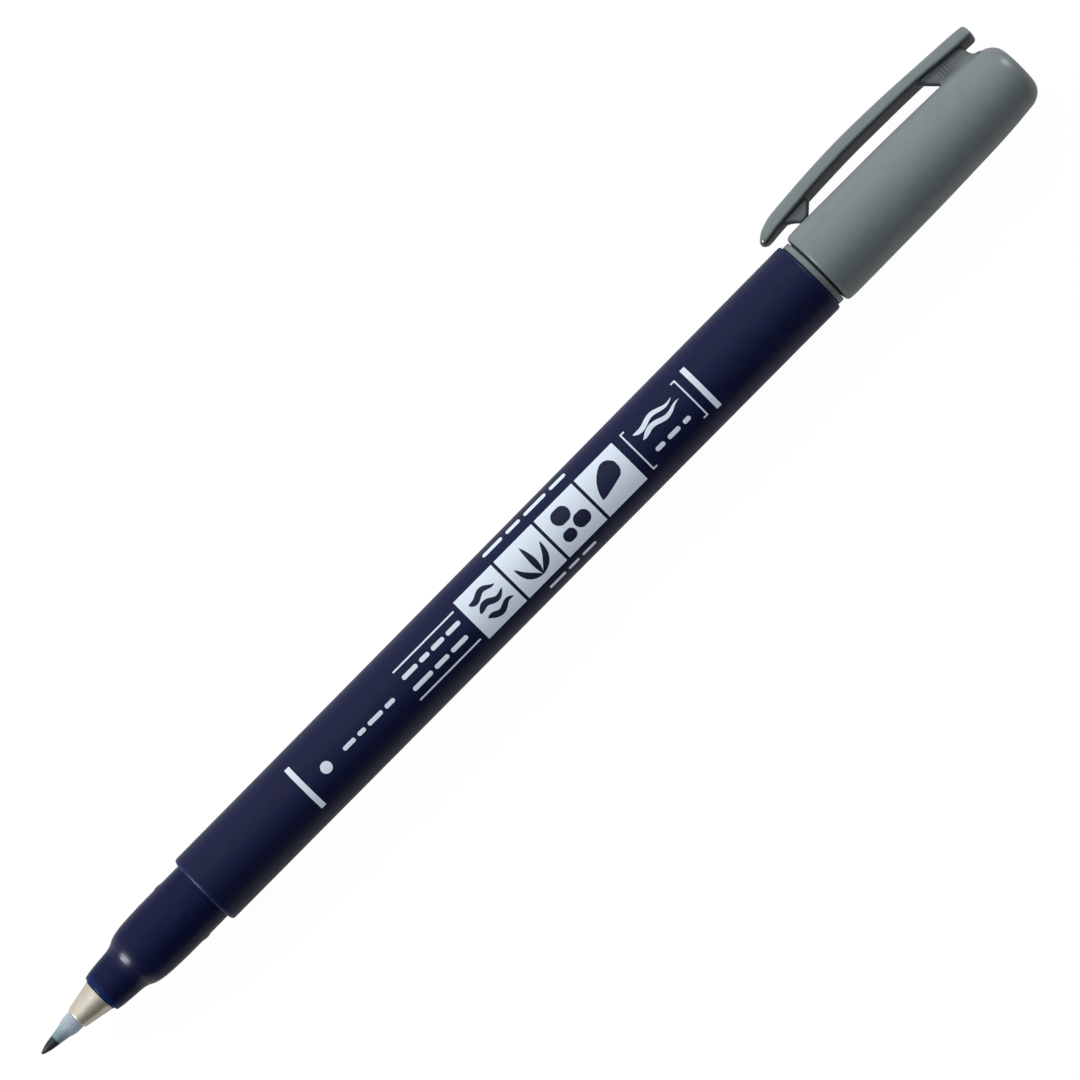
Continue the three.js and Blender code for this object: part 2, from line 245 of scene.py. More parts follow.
def new_piece(name, points, faces, material):
    """A closed mesh, smooth except at its sharp edges, in metres in the CAD frame."""
    mesh = bpy.data.meshes.new(name)
    mesh.from_pydata(points, [], faces)
    turn_outwards(mesh)
    piece = add_object(name, mesh)
    finish_mesh(piece, material)
    return piece


def finish_mesh(piece, material):
    """Smooth shading, the material, and each point's station at rest for the material to read."""
    mesh = piece.data
    mesh.materials.clear()
    mesh.materials.append(material)
    mesh.shade_smooth()
    mesh.set_sharp_from_angle(angle=SHARP_ANGLE)
    values = mesh.attributes.new("station", "FLOAT", "POINT")
    values.data.foreach_set("value", [station_of(vertex.co.x) for vertex in mesh.vertices])


def lathe(name, outline, material, sides, relief=None):
    """Solid of revolution. The outline starts and ends on the axis, or else closes on itself.

    relief(station, turn, radius) gives the height that is added to a point's radius."""
    points = []
    rings = []
    for radius, station in outline:
        if round(radius, 6) == 0:
            rings.append([len(points)] * sides)
            points.append(place(0, station, 0))
            continue
        rings.append(list(range(len(points), len(points) + sides)))
        for i in range(sides):
            turn = 2 * math.pi * i / sides
            extra = relief(station, turn, radius) if relief else 0
            points.append(place(radius + extra, station, turn))
    pairs = list(zip(rings, rings[1:]))
    if outline[0][0] != 0:
        pairs.append((rings[-1], rings[0]))
    faces = []
    for first, second in pairs:
        for i in range(sides):
            j = (i + 1) % sides
            corners = (first[i], first[j], second[j], second[i])
            faces.append(tuple(dict.fromkeys(corners)))
    return new_piece(name, points, faces, material)


def loft(name, rings, material):
    """Solid through closed rings of points, with its two ends closed."""
    sides = len(rings[0])
    points = [point for ring in rings for point in ring]
    faces = []
    for row in range(len(rings) - 1):
        for i in range(sides):
            j = (i + 1) % sides
            low, high = row * sides, (row + 1) * sides
            faces.append((low + i, low + j, high + j, high + i))
    last = (len(rings) - 1) * sides
    faces.append(tuple(range(sides)))
    faces.append(tuple(range(last, last + sides)))
    return new_piece(name, points, faces, material)


def join_solids(piece, others, material):
    """Unites other closed solids with piece, so that one clean skin is left."""
    for other in others:
        union = piece.modifiers.new("union", "BOOLEAN")
        union.operation = "UNION"
        union.solver = "EXACT"
        union.object = other
    bpy.context.view_layer.update()
    evaluated = piece.evaluated_get(bpy.context.evaluated_depsgraph_get())
    joined = bpy.data.meshes.new_from_object(evaluated)
    piece.modifiers.clear()
    turn_outwards(joined, merge=SLIVER)
    piece.data = joined
    if "station" in joined.attributes:
        joined.attributes.remove(joined.attributes["station"])
    finish_mesh(piece, material)
    for other in others:
        bpy.data.objects.remove(other)
    return piece


def fit(piece, body, node):
    """Puts a finished piece on its body, in place of its CAD node."""
    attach(piece, body)
    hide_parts(node)


# ----------------------------------------
# Materials
# ----------------------------------------

PER_METRE = 1 / MM


class Nodes:
    """A node tree being wired up. Values are numbers, colours or other nodes' output sockets."""

    def __init__(self, tree):
        self.tree = tree

    def node(self, kind, inputs=(), **settings):
        """A new node. inputs gives the values of its sockets, by their names or numbers."""
        node = self.tree.nodes.new(kind)
        for key, value in settings.items():
            setattr(node, key, value)
        for key, value in dict(inputs).items():
            self.wire(value, node.inputs[key])
        return node

    def wire(self, value, target):
        if isinstance(value, bpy.types.NodeSocket):
            self.tree.links.new(value, target)
        else:
            target.default_value = value

    def calculate(self, operation, *values):
        return self.node("ShaderNodeMath", enumerate(values), operation=operation).outputs["Value"]

    def spread(self, value, low, high, to_low=0.0, to_high=1.0, smooth=False):
        """Maps low…high onto to_low…to_high, clamped."""
        change = "SMOOTHSTEP" if smooth else "LINEAR"
        inputs = enumerate((value, low, high, to_low, to_high))
        return self.node("ShaderNodeMapRange", inputs, interpolation_type=change).outputs["Result"]

    def choose(self, share, first, second):
        """first where share is 0, second where it is 1."""
        node = self.node("ShaderNodeMix", {"Factor": share, "A": first, "B": second})
        return node.outputs["Result"]


class Finish(Nodes):
    """A material's nodes. Its textures are fixed to the piece, in millimetres."""

    def __init__(self, name, roughness, specular=0.5):
        self.material = bpy.data.materials.new(name)
        self.material.use_nodes = True
        super().__init__(self.material.node_tree)
        self.surface = self.tree.nodes["Principled BSDF"]
        self.place = self.node("ShaderNodeTexCoord").outputs["Object"]
        self.set(Roughness=roughness, Specular_IOR_Level=specular)

    def set(self, **inputs):
        for key, value in inputs.items():
            self.wire(value, self.surface.inputs[key.replace("_", " ")])

    def noise(self, size, detail, stretch=1.0):
        """Noise whose features are about size millimetres, drawn out along the pen by stretch."""
        fine = PER_METRE / size
        stretched = {"Vector": self.place, "Scale": (fine / stretch, fine, fine)}
        mapping = self.node("ShaderNodeMapping", stretched)
        patches = {"Vector": mapping.outputs["Vector"], "Scale": 1.0, "Detail": detail}
        return self.node("ShaderNodeTexNoise", patches).outputs["Fac"]

    def station(self):
        return self.node("ShaderNodeAttribute", attribute_name="station").outputs["Fac"]

    def mix(self, share, first, second):
        """The colour first where share is 0, second where it is 1."""
        first, second = ((*color, 1) if isinstance(color, tuple) else color for color in (first, second))
        node = self.node("ShaderNodeMix", {0: share, 6: first, 7: second}, data_type="RGBA")
        return node.outputs[2]

    def mottled(self, color, amount, size=1.5):
        """The colour with slow lighter and darker patches."""
        darker = tuple(channel * (1 - amount) for channel in color)
        lighter = tuple(channel * (1 + amount) for channel in color)
        return self.mix(self.varied(size, 0.0, 1.0), darker, lighter)

    def bumps(self, *layers):
        """Surface relief from (height, depth in mm) pairs."""
        total = None
        for height, depth in layers:
            scaled = self.calculate("MULTIPLY", height, depth * MM)
            total = self.calculate("ADD", total, scaled) if total else scaled
        bump = self.node("ShaderNodeBump", {"Strength": 1.0, "Distance": 1.0, "Height": total})
        self.set(Normal=bump.outputs["Normal"])

    def near_station(self, middle, reach):
        """1 at a station, falling to 0 at reach millimetres either side of it."""
        distance = self.calculate("ABSOLUTE", self.calculate("SUBTRACT", self.station(), middle))
        return self.spread(distance, 0, reach, 1, 0, smooth=True)

    def varied(self, size, low, high):
        """A value that wanders between low and high."""
        return self.spread(self.noise(size, 3), 0.3, 0.7, low, high)


def navy_plastic(name, roughness, specular, places):
    """Dark blue satin plastic, with a painted highlight of lighter blue or extra shine in places.

    places lists the station, reach, strength of the painted lighter-blue highlight and extra shine of each."""
    finish = Finish(name, roughness, specular)
    color = finish.mottled((0.0056, 0.0092, 0.046), 0.1)
    shine = specular
    for station, reach, rim_highlight, extra in places:
        near = finish.near_station(station, reach)
        # Painted highlight: the colour turns a lighter blue near each listed place, as rims catching light.
        color = finish.mix(finish.calculate("MULTIPLY", near, rim_highlight), color, (0.006, 0.019, 0.115))
        shine = finish.calculate("MULTIPLY_ADD", near, extra, shine)
    finish.set(Base_Color=color, Specular_IOR_Level=shine)
    finish.set(Roughness=finish.varied(2.0, roughness - 0.04, roughness + 0.04))
    finish.bumps(
        (finish.noise(0.28, 2), 0.006 * roughness ** 1.5),
        (finish.noise(0.12, 1, stretch=30), 0.0004),
    )
    return finish.material


def grey_plastic(name):
    """Mid grey satin plastic with a very fine moulded texture.

    Its colour has painted shade in its corners and on the bridge and wedge under the clip arm, and it is
    rubbed shiny at the clip's tip."""
    finish = Finish(name, 0.4, specular=0.4)
    color = finish.mottled((0.19, 0.23, 0.239), 0.035, 2.5)
    # Painted shade: the colour darkens towards a dark grey where nearby parts hem the surface in.
    hidden = finish.node("ShaderNodeAmbientOcclusion", {"Distance": 6 * MM}, samples=6)
    painted_shade = finish.spread(hidden.outputs["AO"], 0.58, 0.88, 0.8, 0.0, smooth=True)
    # Painted shade also on the bridge and wedge under the clip arm, where the web attribute marks them.
    web_shade = finish.node("ShaderNodeAttribute", attribute_name="web").outputs["Fac"]
    painted_shade = finish.calculate("MAXIMUM", painted_shade, finish.calculate("MULTIPLY", web_shade, 0.42))
    finish.set(Base_Color=finish.mix(painted_shade, color, (0.02, 0.024, 0.026)))
    polish = finish.calculate("MULTIPLY", finish.near_station(CLIP_TIP + 0.4, 1.4), 0.24)
    finish.set(Roughness=finish.calculate("SUBTRACT", finish.varied(1.6, 0.36, 0.45), polish))
    finish.bumps((finish.noise(0.22, 3), 0.003), (finish.noise(1.4, 2), 0.004))
    return finish.material


def champagne_plastic(name):
    """Glossy, slightly metallic plastic, a little uneven."""
    finish = Finish(name, 0.32)
    finish.set(Base_Color=finish.mottled((0.66, 0.615, 0.50), 0.05, 0.8), Metallic=0.6)
    finish.set(Roughness=finish.varied(0.7, 0.28, 0.36))
    finish.bumps((finish.noise(1.2, 1), 0.0004))
    return finish.material


def brush_material(name):
    """Soft translucent brush: pale blue-grey, greener where ink has crept in, dark where it is soaked, with
    a faint painted light in its pale part.
    """
    finish = Finish(name, 0.42, specular=0.3)
    creep = finish.calculate("MULTIPLY", finish.noise(0.35, 2), 0.25)
    wavy = finish.calculate("ADD", finish.station(), creep)
    body = finish.mix(finish.spread(wavy, 2.8, 5.0, smooth=True), (0.21, 0.31, 0.34), (0.33, 0.40, 0.465))
    soaked = finish.spread(wavy, 2.42, 2.64, smooth=True)
    finish.set(Base_Color=finish.mix(soaked, (0.016, 0.028, 0.036), body))
    finish.set(Subsurface_Weight=finish.spread(wavy, 2.5, 3.5, 0, 0.6))
    finish.set(Subsurface_Radius=(0.5, 0.6, 0.8), Subsurface_Scale=1.2 * MM)
    # Painted light: the pale part of the brush emits a faint bluish light to brighten it.
    finish.set(Emission_Color=(0.8, 0.92, 1.0, 1))
    finish.set(Emission_Strength=finish.spread(wavy, 2.6, 4.8, 0, 0.1))
    finish.bumps((finish.noise(0.09, 2, stretch=8), 0.0025))
    return finish.material


def liner_plastic(name):
    finish = Finish(name, 0.5, specular=0.4)
    finish.set(Base_Color=finish.mottled((0.66, 0.68, 0.68), 0.03, 2.0))
    finish.bumps((finish.noise(0.3, 2), 0.002))
    return finish.material


def fibre(name, color):
    """Bonded fibres running along the pen."""
    finish = Finish(name, 0.92, specular=0.1)
    strands = finish.noise(0.06, 3, stretch=40)
    dark = tuple(channel * 0.55 for channel in color)
    finish.set(Base_Color=finish.mix(finish.spread(strands, 0.35, 0.65), dark, color))
    finish.bumps((strands, 0.02), (finish.noise(0.5, 2, stretch=4), 0.01))
    return finish.material


def film(name):
    """Thin milky film, slightly wrinkled."""
    finish = Finish(name, 0.3)
    finish.set(Base_Color=finish.mottled((0.76, 0.78, 0.81), 0.04, 3.0), Transmission_Weight=0.35)
    finish.bumps((finish.noise(1.2, 3, stretch=3), 0.01))
    return finish.material


def print_ink(name, color, speckle, painted_glow=(0, 0, 0)):
    """Screen-printed ink with tiny pinholes and an uneven film. Its emission colour is painted light that
    brightens the ink.
    """
    finish = Finish(name, 0.5, specular=0.2)
    thin = tuple(channel * (1 - speckle) for channel in color)
    finish.set(Base_Color=finish.mix(finish.spread(finish.noise(0.14, 3), 0.28, 0.5), thin, color))
    # Painted light: the ink emits this colour to look brighter.
    finish.set(Emission_Color=(*painted_glow, 1), Emission_Strength=1.0)
    finish.bumps((finish.noise(0.1, 2), 0.001))
    return finish.material


# Painted highlights in lighter blue at the barrel's rims and on the nose's face.
BARREL_FINISH = navy_plastic("navy_barrel", 0.40, 0.15, [
    (BARREL_FRONT, 0.7, 1, 0.12),
    (BARREL_REAR, 0.4, 0.7, 0),
])
NOSE_FINISH = navy_plastic("navy_nose", 0.30, 0.10, [
    (NOSE_FRONT + 0.5, 0.7, 1, 0),
    (SHOULDER + 1.2, 1.6, 0, 0.2),
])
GREY_FINISH = grey_plastic("grey_cap")
HOLDER_FINISH = champagne_plastic("pale_holder")
BRUSH_FINISH = brush_material("soft_nib")
LINER_FINISH = liner_plastic("white_liner")
FEED_FINISH = fibre("feed_fibre", (0.07, 0.085, 0.093))
CORE_FINISH = fibre("core_fibre", (0.11, 0.127, 0.136))
FILM_FINISH = film("clear_film")
# The white print's last colour is painted light, emitted to brighten it.
WHITE_INK = print_ink("white_print", (0.60, 0.675, 0.74), 0.12, (0.14, 0.165, 0.205))
NAVY_INK = print_ink("navy_print", (0.009, 0.013, 0.045), 0.25)


# ----------------------------------------
# Nib end
# ----------------------------------------

def brush_nib():
    """Soft brush with a blunt point, fat where it leaves its holder, and a half-ball root."""
    visible = curved([
        (0.0, 0.0),
        (0.17, 0.15),
        (0.37, 0.7),
        (0.51, 1.2),
        (0.6, 1.7),
        (0.745, 2.7),
        (0.92, 3.7),
        (1.07, 4.2),
        (1.2, 4.7),
        (NIB_RADIUS, 5.2),
        (NIB_RADIUS, HOLDER_MOUTH),
    ])
    root_end = HOLDER_MOUTH + NIB_RADIUS
    root = corner((NIB_RADIUS, root_end), (0, -NIB_RADIUS), (-NIB_RADIUS, 0), 8)
    nib = lathe("soft_brush_nib", visible + root[1:], BRUSH_FINISH, 72)
    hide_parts("brush_nib")
    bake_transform(nib)


def nib_holder():
    """Glossy cone: a rolled mouth, a slim taper into the nose, then shank and flange out of sight."""
    bore = NIB_RADIUS + 0.06
    feed_bore = 1.07
    lip = 0.12
    mouth_depth = NIB_PIVOT + NIB_RADIUS + 0.1
    flange_front = HOLDER_REAR - 1.4
    flange_radius = 3.05
    outline = [
        *corner((bore, HOLDER_MOUTH), (0, lip), (lip / 2, 0), 4),
        *corner((HOLDER_MOUTH_RADIUS, HOLDER_MOUTH), (-lip, 0), (0.02, lip), 5),
        *straight((HOLDER_MOUTH_RADIUS + 0.05, HOLDER_MOUTH + 0.3), (HOLDER_RADIUS, NOSE_FRONT), 10),
        (HOLDER_RADIUS, flange_front),
        *corner((flange_radius, flange_front), (-lip, 0), (0, lip), 3),
        (flange_radius, HOLDER_REAR),
        (feed_bore, HOLDER_REAR),
        (feed_bore, mouth_depth),
        (bore, mouth_depth),
    ]
    fit(lathe("nib_holder_cone", outline, HOLDER_FINISH, 96), "pen", "nib_holder")


def pip_relief(station, turn, radius):
    """Four low pips round the section that the cap snaps over."""
    if radius < SECTION_RADIUS - 0.2:
        return 0
    quarter = math.pi / 2
    off = (turn + quarter / 2) % quarter - quarter / 2
    along = (station - PIP_STATION) / 0.6
    sideways = off * SECTION_RADIUS / 0.8
    share = max(0.0, 1 - along * along - sideways * sideways)
    return 0.09 * share ** 0.8


def front_section():
    """Nose: a narrow ring round the holder, a crisp face, the shoulder, the pips and the spigot."""
    bore = HOLDER_RADIUS + 0.03
    ring_front, ring_radius = NOSE_FRONT + 0.03, bore + 0.05
    rim, face, rim_round = 2.65, NOSE_FRONT + 0.25, 0.13
    rear_bore = 3.2
    flange_room = HOLDER_REAR - 1.7
    outline = [
        *corner((ring_radius, ring_front), (-0.05, 0), (0, 0.05), 4),
        *corner((ring_radius, face), (0, -0.06), (0.06, 0), 3),
        *corner((rim, face), (-rim_round, 0), (0, rim_round), 5),
        *curved([
            (rim + 0.13, NOSE_FRONT + 1.0),
            (NOSE_RADIUS - 0.11, NOSE_FRONT + 2.5),
            (NOSE_RADIUS, SHOULDER),
            (NOSE_RADIUS + 0.09, SHOULDER + 0.5),
            (NOSE_RADIUS + 0.24, SHOULDER + 1.0),
            (NOSE_RADIUS + 0.48, SHOULDER + 1.45),
            (NOSE_RADIUS + 0.67, SHOULDER + 1.95),
            (NOSE_RADIUS + 0.8, SHOULDER + 2.5),
            (NOSE_RADIUS + 0.94, SHOULDER + 3.5),
            (NOSE_RADIUS + 1.01, SHOULDER + 4.7),
        ], 5),
        *straight((SECTION_RADIUS, SHOULDER + 6.7), (SECTION_RADIUS, PIP_STATION - 0.7), 3),
        *straight((SECTION_RADIUS, PIP_STATION - 0.65), (SECTION_RADIUS, PIP_STATION + 0.65), 24),
        *straight((SECTION_RADIUS, PIP_STATION + 1), (SECTION_RADIUS, SECTION_REAR - 0.4), 6),
        (SECTION_RADIUS - 0.4, SECTION_REAR),
        (rear_bore, SECTION_REAR),
        (rear_bore, flange_room),
        (bore, flange_room),
    ]
    piece = lathe("nose_section", outline, NOSE_FINISH, 192, pip_relief)
    fit(piece, "pen", "front_section")


def ink_feed():
    """Relay core with bevelled ends."""
    radius = 1.0
    bevel = 0.5
    outline = [
        (0, FEED_FRONT),
        *corner((radius, FEED_FRONT), (-bevel, 0), (0, bevel), 4),
        *corner((radius, FEED_REAR), (0, -bevel), (-bevel, 0), 4),
        (0, FEED_REAR),
    ]
    fit(lathe("relay_feed", outline, FEED_FINISH, 48), "pen", "ink_feed")


# ----------------------------------------
# Barrel, reservoir and tail
# ----------------------------------------

def barrel():
    """Slightly tapered tube: a broad rounded front rim and a smaller rear one."""
    front, rear = BARREL_FRONT_RADIUS, BARREL_REAR_RADIUS
    front_round, rear_round = 0.45, 0.35
    inner_edge = 0.12
    outline = [
        *corner((BARREL_BORE, BARREL_FRONT), (0, inner_edge), (inner_edge, 0), 4),
        *corner((front, BARREL_FRONT), (-front_round, 0), (0, front_round), 10),
        *straight((barrel_radius(BARREL_FRONT + 1), BARREL_FRONT + 1),
                  (barrel_radius(BARREL_REAR - 1), BARREL_REAR - 1), 40),
        *corner((rear, BARREL_REAR), (0, -rear_round), (-rear_round, 0), 8),
        *corner((BARREL_BORE, BARREL_REAR), (inner_edge, 0), (0, -inner_edge), 4),
    ]
    fit(lathe("barrel_tube", outline, BARREL_FINISH, 192), "pen", "barrel")


def ink_reservoir():
    """Fibre bundle, fluted by its strands, with the blind hole for the feed."""
    radius = 3.55
    hole = 1.1
    hole_end = FEED_REAR + 0.3
    flutes = 40
    depth = 0.05

    def strands(station, turn, at_radius):
        return -depth * (1 + math.cos(flutes * turn)) / 2 if at_radius > hole + 1 else 0

    outline = [
        (0, hole_end),
        (hole, hole_end),
        (hole, CORE_FRONT),
        *corner((radius, CORE_FRONT), (-0.25, 0), (0, 0.25), 3),
        *corner((radius, CORE_REAR), (0, -0.25), (-0.25, 0), 3),
        (0, CORE_REAR),
    ]
    fit(lathe("fibre_reservoir", outline, CORE_FINISH, 160, strands), "pen", "ink_reservoir")


def reservoir_sleeve():
    """Film wrapped round the fibre bundle, with one lengthwise lap seam."""
    inside, outside = 3.65, 3.8
    seam = 0.08

    def lap(station, turn, at_radius):
        off = abs(math.remainder(turn - math.pi / 2, 2 * math.pi)) * outside
        return seam * (1 - level(off, 0.5, 0.8)) if at_radius > inside else 0

    outline = [
        (inside, CORE_FRONT),
        *straight((outside, CORE_FRONT), (outside, CORE_REAR), 12),
        (inside, CORE_REAR),
    ]
    fit(lathe("reservoir_film", outline, FILM_FINISH, 160, lap), "pen", "reservoir_sleeve")


def tail_plug():
    """Grey plug: a spigot, the collar that shows behind the barrel, and the post that holds the cap."""
    spigot = BARREL_BORE - 0.07
    bore = 3.0
    collar_front = BARREL_REAR + 0.07
    collar_rear = collar_front + 0.85
    edge = 0.12
    end_wall = 1.3
    outline = [
        (0, POST_REAR - end_wall),
        *corner((bore, POST_REAR - end_wall), (-0.5, 0), (0, -0.5), 3),
        (bore, PLUG_FRONT),
        *corner((spigot, PLUG_FRONT), (-0.3, 0), (0, 0.3), 3),
        (spigot, collar_front),
        *corner((COLLAR_RADIUS, collar_front), (-edge, 0), (0, edge), 4),
        *corner((COLLAR_RADIUS, collar_rear), (0, -edge), (-edge, 0), 4),
        (POST_RADIUS + 0.04, collar_rear),
        (POST_RADIUS, collar_rear + 0.08),
        *snap_bead(collar_rear + 2.6),
        *corner((POST_RADIUS, POST_REAR), (0, -0.9), (-0.9, 0), 10),
        *corner((1.5, POST_REAR), (0.2, 0), (-0.1, -0.35), 4),
        (0, POST_REAR - 0.35),
    ]
    fit(lathe("tail_post", outline, GREY_FINISH, 160), "pen", "tail_plug")


def snap_bead(station):
    """Low bead round the post that holds the posted cap."""
    half_width = 0.45
    height = 0.07
    steps = 10
    bead = []
    for i in range(steps + 1):
        off = -1 + 2 * i / steps
        bead.append((POST_RADIUS + height * (1 - off * off), station + half_width * off))
    return bead


# ----------------------------------------
# Cap and clip
# ----------------------------------------

def cap_body():
    """Cap wall with a bevelled lip, a gentle waist towards its end and a rounded crown."""
    end_wall = 1.35
    crown_start = CAP_END - 2.3
    crown = 4.45
    flat = 2.4
    lead_in = 0.15
    outline = [
        (0, CAP_END - end_wall),
        (2.6, CAP_END - end_wall),
        *corner((3.65, CAP_END - end_wall), (-0.65, 0), (0, -0.8), 5),
        (3.85, CAP_END - 4.35),
        (CAP_BORE, CAP_END - 8.75),
        (CAP_BORE, CAP_LIP + 1),
        (CAP_BORE, CAP_LIP + lead_in),
        (CAP_BORE + lead_in, CAP_LIP),
        *rounded((CAP_RADIUS - 0.42, CAP_LIP), (CAP_RADIUS - 0.1, CAP_LIP + 0.02),
                 (CAP_RADIUS - 0.05, CAP_LIP + 0.5), 8),
        *curved([
            (CAP_RADIUS - 0.02, CAP_LIP + 0.8),
            (CAP_RADIUS, CAP_LIP + 1.6),
            (CAP_RADIUS, CAP_LIP + 3.5),
            (CAP_RADIUS - 0.02, CAP_LIP + 8),
            (CAP_RADIUS - 0.07, CAP_LIP + 15.5),
            (CAP_RADIUS - 0.23, CAP_LIP + 22.4),
            (CAP_RADIUS - 0.34, CAP_LIP + 26),
            (CAP_RADIUS - 0.52, CAP_LIP + 28.9),
        ], 5),
        *rounded((crown, crown_start), (crown - 0.12, CAP_END), (flat, CAP_END), 16),
        (1.2, CAP_END),
        (0, CAP_END),
    ]
    fit(lathe("cap_body", outline, GREY_FINISH, 192), "cap", "cap_shell")


# The clip arm, from its tip to its root: station, middle of its thickness, half thickness, half width.
ARM = [
    (CLIP_TIP, 7.26, 0.5, 0.75),
    (CLIP_TIP + 0.5, 7.31, 0.58, 0.85),
    (CLIP_TIP + 1.1, 7.5, 0.76, 0.97),
    (CLIP_TIP + 2.3, 7.79, 0.88, 1.1),
    (CLIP_TIP + 3.4, 7.95, 0.93, 1.17),
    (CLIP_TIP + 6.5, 8.13, 0.92, 1.38),
    (CLIP_TIP + 10, 8.33, 0.9, 1.52),
    (CLIP_TIP + 15, 8.48, 0.88, 1.58),
    (CLIP_TIP + 20, 8.4, 0.86, 1.58),
    (CLIP_TIP + 24, 8.26, 0.81, 1.56),
    (CLIP_TIP + 27, 8.09, 0.79, 1.53),
    (CLIP_TIP + 30, 7.85, 0.84, 1.5),
    (CLIP_TIP + 33, 7.62, 0.88, 1.46),
    (CLIP_ROOT, 7.44, 0.84, 1.42),
]
ARM_CURVE = curved(ARM, 12)
ARM_CORNER = 0.44
TIP_ROUND = 0.75
ROOT_ROUND = 0.6
WEB_HALF_WIDTH = 0.6


def rounded_section(out, station, half_thickness, half_width):
    """Ring of points round a rectangle with rounded corners, across the clip arm."""
    radius = min(ARM_CORNER, 0.8 * half_thickness, 0.8 * half_width)
    steps = 6
    ring = []
    for quarter, (rise_side, across_side) in enumerate(((1, 1), (-1, 1), (-1, -1), (1, -1))):
        for i in range(steps + 1):
            turn = math.pi / 2 * (quarter + i / steps)
            rise = rise_side * (half_thickness - radius) + radius * math.cos(turn)
            across = across_side * (half_width - radius) + radius * math.sin(turn)
            ring.append(beside(out + rise, station, across))
    return ring


def arm_at(station):
    """Middle, half thickness and half width of the clip arm at a station."""
    for first, second in zip(ARM_CURVE, ARM_CURVE[1:]):
        if station <= second[0]:
            share = (station - first[0]) / (second[0] - first[0])
            return [a + (b - a) * share for a, b in zip(first[1:], second[1:])]
    return list(ARM_CURVE[-1][1:])


def clip_arm():
    """The bowed arm, rounded off at its tip and at its root."""
    round_steps, middle_steps = 9, 90
    middle_start, middle_end = CLIP_TIP + TIP_ROUND, CLIP_ROOT - ROOT_ROUND
    quarter = math.pi / 2
    along = []
    for i in range(round_steps):
        along.append(CLIP_TIP + TIP_ROUND * (1 - math.cos(quarter * i / round_steps)))
    for i in range(middle_steps):
        along.append(middle_start + (middle_end - middle_start) * i / middle_steps)
    for i in range(round_steps + 1):
        along.append(CLIP_ROOT - ROOT_ROUND * (1 - math.sin(quarter * i / round_steps)))
    rings = []
    for station in along:
        out, thickness, width = arm_at(station)
        from_tip = min(1.0, (station - CLIP_TIP) / TIP_ROUND)
        from_root = min(1.0, (CLIP_ROOT - station) / ROOT_ROUND)
        blunt = math.sqrt(max(0.0, 1 - (1 - from_tip) ** 2))
        square = max(0.0, 1 - (1 - from_root) ** 2.4) ** (1 / 2.4)
        tip_size = 0.06 + 0.94 * blunt
        root_size = 0.45 + 0.55 * square
        size = min(tip_size, root_size)
        rings.append(rounded_section(out, station, thickness * size, width * size))
    return loft("clip_moulding", rings, GREY_FINISH)


def web(name, outline_at, levels, half_width_at):
    """Thin upright web between two heights: at each height it runs from one station to another."""
    steps = 12
    rings = []
    for height in levels:
        first, last = outline_at(height)
        half_width = half_width_at(height)
        ring = []
        for end, base in ((first + half_width, math.pi), (last - half_width, 0.0)):
            for i in range(steps + 1):
                turn = base - math.pi / 2 + math.pi * i / steps
                ring.append((end + half_width * math.cos(turn), half_width * math.sin(turn)))
        rings.append([beside(height, station, across) for station, across in ring])
    return loft(name, rings, GREY_FINISH)


def clip_bridge():
    """Web from the cap to the clip arm, flared at both, with an oval notch behind it."""
    foot, top = 4.3, 8.0
    front, front_slope = CLIP_HINGE + 2.95, 0.85
    rear = CAP_END - 1.5
    notch_middle = 6.2
    notch_height = 1.5
    notch_depth = 1.3

    def outline_at(height):
        slant = front - front_slope * (height - foot)
        sweep = 0.2 * level(height, 6.6, 7.6) ** 2
        toe = 0.2 * (1 - level(height, 4.7, 5.5))
        off = (height - notch_middle) / notch_height
        notch = notch_depth * math.sqrt(max(0.0, 1 - off * off))
        foot_slant = max(0.0, 4.75 - height) * 1.2
        return slant - sweep - toe, rear - notch - foot_slant

    def half_width_at(height):
        near_arm = 0.25 * level(height, 6.6, 7.3)
        near_cap = 0.3 * (1 - level(height, 4.7, 5.4))
        return WEB_HALF_WIDTH + near_arm + near_cap

    steps = 30
    levels = [foot + (top - foot) * i / steps for i in range(steps + 1)]
    return web("bridge", outline_at, levels, half_width_at)


def bridge_ribs():
    """Four short upright bars, raised on each face of the bridge."""
    count, pitch = 4, 0.45
    first = CLIP_HINGE + 3.1
    low, high = 5.15, 6.75
    half_length, raised = 0.11, 0.16
    steps, sides = 8, 12
    ribs = []
    for face in (-1, 1):
        for i in range(count):
            rings = []
            for j in range(steps + 1):
                share = j / steps
                size = max(0.3, 1 - abs(2 * share - 1) ** 8)
                ring = []
                for k in range(sides):
                    turn = 2 * math.pi * k / sides
                    along = first + pitch * i + half_length * size * math.sin(turn)
                    across = face * (WEB_HALF_WIDTH + raised * size * math.cos(turn))
                    ring.append(beside(low + (high - low) * share, along, across))
                rings.append(ring)
            ribs.append(loft(f"rib_{face}_{i}", rings, GREY_FINISH))
    return ribs


def clip_wedge():
    """Wedge under the arm that grips a pocket: a swept front flank, a blunt tip, a straight rear flank."""
    tip, top = 5.4, 8.0
    tip_first = CLIP_TIP + 5.25
    tip_last = tip_first + 0.85
    flank_height = 1.9

    def outline_at(height):
        rise = min(1.05, max(0.0, (height - tip) / flank_height))
        first = tip_first - 1.3 * rise - 1.2 * rise ** 3
        last = tip_last + 1.95 * min(rise, 0.78)
        blunt = 0.2 * (1 - level(height, tip, tip + 0.35))
        return first + blunt, last - blunt

    def half_width_at(height):
        blunt = 0.22 * (1 - level(height, tip, tip + 0.3))
        return 0.52 - blunt + 0.12 * level(height, 6.3, 7.4)

    steps = 26
    levels = [tip + (top - tip) * (i / steps) ** 1.3 for i in range(steps + 1)]
    return web("wedge", outline_at, levels, half_width_at)


